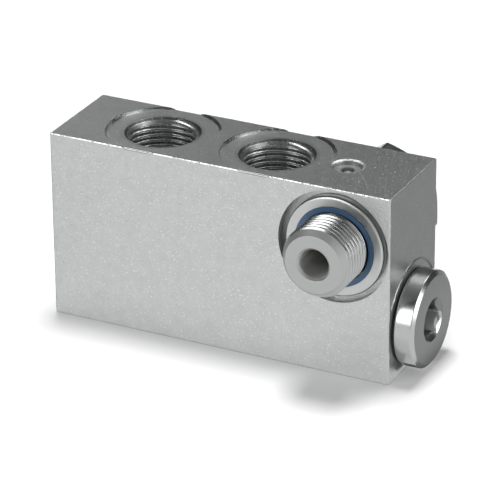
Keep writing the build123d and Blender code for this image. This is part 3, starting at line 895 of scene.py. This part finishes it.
class VALVE_OT_poppet_spring(bpy.types.Operator):
    """Wound spring between the poppet and the end plug"""

    bl_idname = "valve.poppet_spring"
    bl_label = "Poppet spring"

    def execute(self, context):
        """Wire whose ends are ground flat."""
        lowest, highest = box_in_mm("poppet_spring")
        start, end = lowest[0], highest[0]
        middle_z = (lowest[2] + highest[2]) / 2
        points = self.wire_points(context.scene.valve_spring, start, end, highest[1] - lowest[1])
        points[..., 0] = np.clip(points[..., 0], start, end)
        points[..., 2] += middle_z
        piece = put_carried("poppet_spring_wound", points, finish("spring_steel"))
        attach(piece, "block")
        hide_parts("poppet_spring")
        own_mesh(piece)
        return {"FINISHED"}

    def wire_points(self, sizes, start, end, outer_d):
        """Tube round a helix whose pitch is small in the first and last turn.

        The wire's middle is (x, R cos a, R sin a), where x is the running sum of the pitch over the
        turns. The tube's points lie the wire's radius from it, in the plane square to its run.
        """
        steps_per_turn, sides, end_gap, grind = 40, 12, 0.05, 0.1
        closed_turn, ramp = 0.9, 0.2
        wire_r = sizes.wire / MM / 2
        coil_r = outer_d / 2 - wire_r
        end_pitch = 2 * wire_r + end_gap
        total = sizes.open_turns + 2
        turns = np.linspace(0, total, int(total * steps_per_turn) + 1)
        open_pitch = (end - start - 2 * (end_pitch + grind)) / sizes.open_turns
        blend = np.clip((turns - closed_turn) / ramp, 0, 1)
        blend = blend * np.clip((total - closed_turn - turns) / ramp, 0, 1)
        pitch = end_pitch + (open_pitch - end_pitch) * blend
        rise = np.concatenate([[0], np.cumsum((pitch[1:] + pitch[:-1]) / 2 * np.diff(turns))])
        x = start + grind + rise / rise[-1] * (end - start - 2 * grind)
        angle = turns * FULL_TURN
        middle = np.stack([x, coil_r * np.cos(angle), coil_r * np.sin(angle)], axis=-1)
        run = np.gradient(middle, axis=0)
        run /= np.linalg.norm(run, axis=1, keepdims=True)
        out = np.stack([np.zeros_like(angle), np.cos(angle), np.sin(angle)], axis=-1)
        side = np.cross(run, out)
        side /= np.linalg.norm(side, axis=1, keepdims=True)
        out = np.cross(side, run)
        t = around(sides)[None, :, None]
        return middle[:, None] + wire_r * (np.cos(t) * out[:, None] + np.sin(t) * side[:, None])


class VALVE_OT_finishes(bpy.types.Operator):
    """Finishes of the solids that stay"""

    bl_idname = "valve.finishes"
    bl_label = "Finishes of the solids"

    def execute(self, context):
        slots = {s["node"]: s["material_slot"] for s in frame["record"]["subparts"]}
        for name, node in frame["nodes"].items():
            if not node.hide_render:
                for holder in node.material_slots:
                    holder.material = finish(slots[name])
        return {"FINISHED"}


class VALVE_OT_studio(bpy.types.Operator):
    """Pale floor, soft lamps and the camera"""

    bl_idname = "valve.studio"
    bl_label = "Studio"

    def execute(self, context):
        studio = context.scene.valve_studio
        self.add_floor(studio)
        self.add_flags()
        self.add_room(context.scene, studio)
        # Place and width in metres, power, and whether it lights the metal and the paper
        lamps = {
            "key_softbox": ((-0.32, -0.70, 0.31), 0.45, studio.key_power, True, True),
            "floor_softbox": ((-0.045, 0.13, 0.95), 0.25, studio.floor_power, False, True),
            "top_softbox": ((0.56, 0.18, 0.78), 0.5, studio.top_power, True, False),
            "overhead_softbox": ((0.14, 0.50, 0.84), 0.46, studio.overhead_power, True, False),
            "right_softbox": ((0.76, 0.02, 0.20), 0.5, studio.right_power, True, False),
            "back_softbox": ((-0.44, 0.17, 0.85), 0.4, studio.back_power, True, False),
            "rear_softbox": ((-0.60, 0.78, 0.23), 0.3, studio.rear_power, True, False),
            "front_softbox": ((0.55, -0.62, 0.50), 0.7, studio.front_power, True, False),
        }
        for name, lamp in lamps.items():
            self.add_lamp(name, *lamp)
        self.add_camera(context.scene, studio)
        return {"FINISHED"}

    def add_flags(self):
        """Floor cards glowing in reflections only: painted shade, and the plug's painted shadow."""
        height = 0.001
        outlines = {
            "flag_card": [[0.0427, -0.0066], [0.4, -0.0066], [0.4, 0.6], [0.0427, 0.6]],
            "left_flag_card": [[-0.2, -0.1], [-0.0429, -0.0129], [-0.0429, 0.1], [-0.2, 0.1]],
        }
        grey = bpy.data.materials.new("painted_shade_flag_card")
        tree = emptied(grey)
        place = add(tree, "ShaderNodeTexCoord").outputs["Object"]
        away = add(tree, "ShaderNodeSeparateXYZ", {"Vector": place}).outputs["X"]
        # Painted shadow of the plug: darkest near the block, lighter further out
        paint = colour("444444")
        for start, end, code in ((45.5, 52.0, "B4B4B4"), (60.0, 72.0, "9B9B9B")):
            coat = {"Factor": zone(tree, (away, start, end)), "A": paint, "B": colour(code)}
            paint = add(tree, "ShaderNodeMix", coat, data_type="RGBA")
        card = add(tree, "ShaderNodeEmission", {"Color": paint, "Strength": 1.0})
        add(tree, "ShaderNodeOutputMaterial", {"Surface": card})
        for name, outline in outlines.items():
            corners = np.column_stack([outline, np.full(4, height)])
            flag = put_mesh(name, corners, [np.array([[0, 1, 2, 3]])], grey)
            flag.visible_camera = flag.visible_diffuse = flag.visible_shadow = False

    def add_floor(self, studio):
        """Large white floor, a little lit by itself for the camera and for reflections.

        Under the block, where |x| and |y| are less than half its length and width, reflections show
        no such light.
        """
        half_side, edge = 3.0, 0.0002
        corners = half_side * np.array([[-1, -1, 0], [1, -1, 0], [1, 1, 0], [-1, 1, 0]])
        lowest, highest = box_in_mm("valve_body")
        half = tuple((highest - lowest) / 2 * MM * (1, 1, 0))
        material = bpy.data.materials.new("white_studio_paper")
        tree = emptied(material)
        rays = add(tree, "ShaderNodeLightPath").outputs
        bent = {0: rays["Is Glossy Ray"], 1: rays["Is Transmission Ray"]}
        bent = add(tree, "ShaderNodeMath", bent, operation="MAXIMUM")
        place = add(tree, "ShaderNodeTexCoord").outputs["Object"]
        apart = add(tree, "ShaderNodeVectorMath", {0: place}, operation="ABSOLUTE")
        past = add(tree, "ShaderNodeVectorMath", {0: apart, 1: half}, operation="SUBTRACT")
        past_x, past_y, _ = add(tree, "ShaderNodeSeparateXYZ", {"Vector": past}).outputs
        outside = add(tree, "ShaderNodeMath", {0: past_x, 1: past_y}, operation="MAXIMUM")
        spread = {"Value": outside, "From Max": edge, "To Max": studio.mirrored_white}
        open_floor = add(tree, "ShaderNodeMapRange", spread)
        mirrored = add(tree, "ShaderNodeMath", {0: bent, 1: open_floor}, operation="MULTIPLY")
        share = {0: rays["Is Camera Ray"], 1: studio.seen_white, 2: mirrored}
        share = add(tree, "ShaderNodeMath", share, operation="MULTIPLY_ADD")
        white = add(tree, "ShaderNodeEmission", {"Color": colour("FFFFFF"), "Strength": 1.0})
        paper = add(tree, "ShaderNodeBsdfDiffuse", {"Color": colour("F4F4F4")})
        both = add(tree, "ShaderNodeMixShader", {0: share, 1: paper, 2: white})
        add(tree, "ShaderNodeOutputMaterial", {"Surface": both})
        put_mesh("floor", corners, [np.array([[0, 1, 2, 3]])], material)

    def add_room(self, scene, studio):
        """Plain grey room."""
        world = bpy.data.worlds.new("grey_room")
        tree = emptied(world)
        room = {"Color": (*studio.room, 1.0), "Strength": 1.0}
        room = add(tree, "ShaderNodeBackground", room)
        add(tree, "ShaderNodeOutputWorld", {"Surface": room})
        scene.world = world
        scene.view_settings.view_transform = "Standard"

    def add_lamp(self, name, place, width, power, on_metal, on_paper):
        """Square soft lamp that looks at the block and lights the metal, the paper, or both."""
        block_middle = Vector((0, 0, 0.02))
        lamp = bpy.data.lights.new(name, "AREA")
        lamp.size = width
        lamp.energy = power
        holder = bpy.data.objects.new(name, lamp)
        bpy.context.scene.collection.objects.link(holder)
        aim = block_middle - Vector(place)
        holder.rotation_euler = aim.to_track_quat("-Z", "Y").to_euler()
        holder.location = place
        holder.visible_glossy = on_metal
        holder.visible_diffuse = on_paper

    def add_camera(self, scene, studio):
        """Camera where the block's corners put it in the photograph."""
        camera = bpy.data.cameras.new("camera")
        camera.sensor_width = 36.0
        camera.lens = studio.lens
        camera.clip_start = 0.05
        camera.clip_end = 20.0
        holder = bpy.data.objects.new("camera", camera)
        scene.collection.objects.link(holder)
        right = Vector((0.89494106, 0.44613026, -0.00694975))
        down = Vector((0.18673744, -0.38865218, -0.90226305))
        forward = Vector((-0.40522788, 0.80617447, -0.43113002))
        place = Vector((0.31319, -0.61923, 0.35093))
        turn = Matrix((right, -down, -forward)).transposed().to_4x4()
        holder.matrix_world = Matrix.Translation(place) @ turn
        scene.camera = holder


class VALVE_PT_build(bpy.types.Panel):
    """Lists the sizes and the pieces of the valve"""

    bl_idname = "VALVE_PT_build"
    bl_label = "Non-return valve"
    bl_space_type = "VIEW_3D"
    bl_region_type = "UI"
    bl_category = "Valve"

    def draw(self, context):
        for settings in SETTINGS:
            group = getattr(context.scene, settings)
            column = self.layout.column()
            for name in group.bl_rna.properties.keys():
                if name not in ("rna_type", "name"):
                    column.prop(group, name)
        for operator in OPERATORS:
            self.layout.operator(operator.bl_idname)


SETTINGS = {
    "valve_thread": ValveThreadSizes,
    "valve_bolt": ValveBoltSizes,
    "valve_plug": ValvePlugSizes,
    "valve_spring": ValveSpringSizes,
    "valve_studio": ValveStudio,
}
OPERATORS = [
    VALVE_OT_port_threads,
    VALVE_OT_hollow_bolt,
    VALVE_OT_washer_rings,
    VALVE_OT_end_plug,
    VALVE_OT_edge_burr,
    VALVE_OT_spot_burr,
    VALVE_OT_poppet_spring,
    VALVE_OT_finishes,
    VALVE_OT_studio,
]


def register():
    """Makes the settings, the operators and the panel known."""
    for name, group in SETTINGS.items():
        bpy.utils.register_class(group)
        setattr(bpy.types.Scene, name, PointerProperty(type=group))
    for operator in OPERATORS:
        bpy.utils.register_class(operator)
    bpy.utils.register_class(VALVE_PT_build)


def unregister():
    """Takes them away again."""
    bpy.utils.unregister_class(VALVE_PT_build)
    for operator in reversed(OPERATORS):
        bpy.utils.unregister_class(operator)
    for name, group in SETTINGS.items():
        delattr(bpy.types.Scene, name)
        bpy.utils.unregister_class(group)


def main():
    """Builds the whole scene."""
    register()
    bpy.ops.valve.port_threads()
    bpy.ops.valve.hollow_bolt()
    bpy.ops.valve.washer_rings()
    bpy.ops.valve.end_plug()
    bpy.ops.valve.edge_burr()
    bpy.ops.valve.spot_burr()
    bpy.ops.valve.poppet_spring()
    bpy.ops.valve.finishes()
    bpy.ops.valve.studio()


if __name__ == "__main__":
    main()
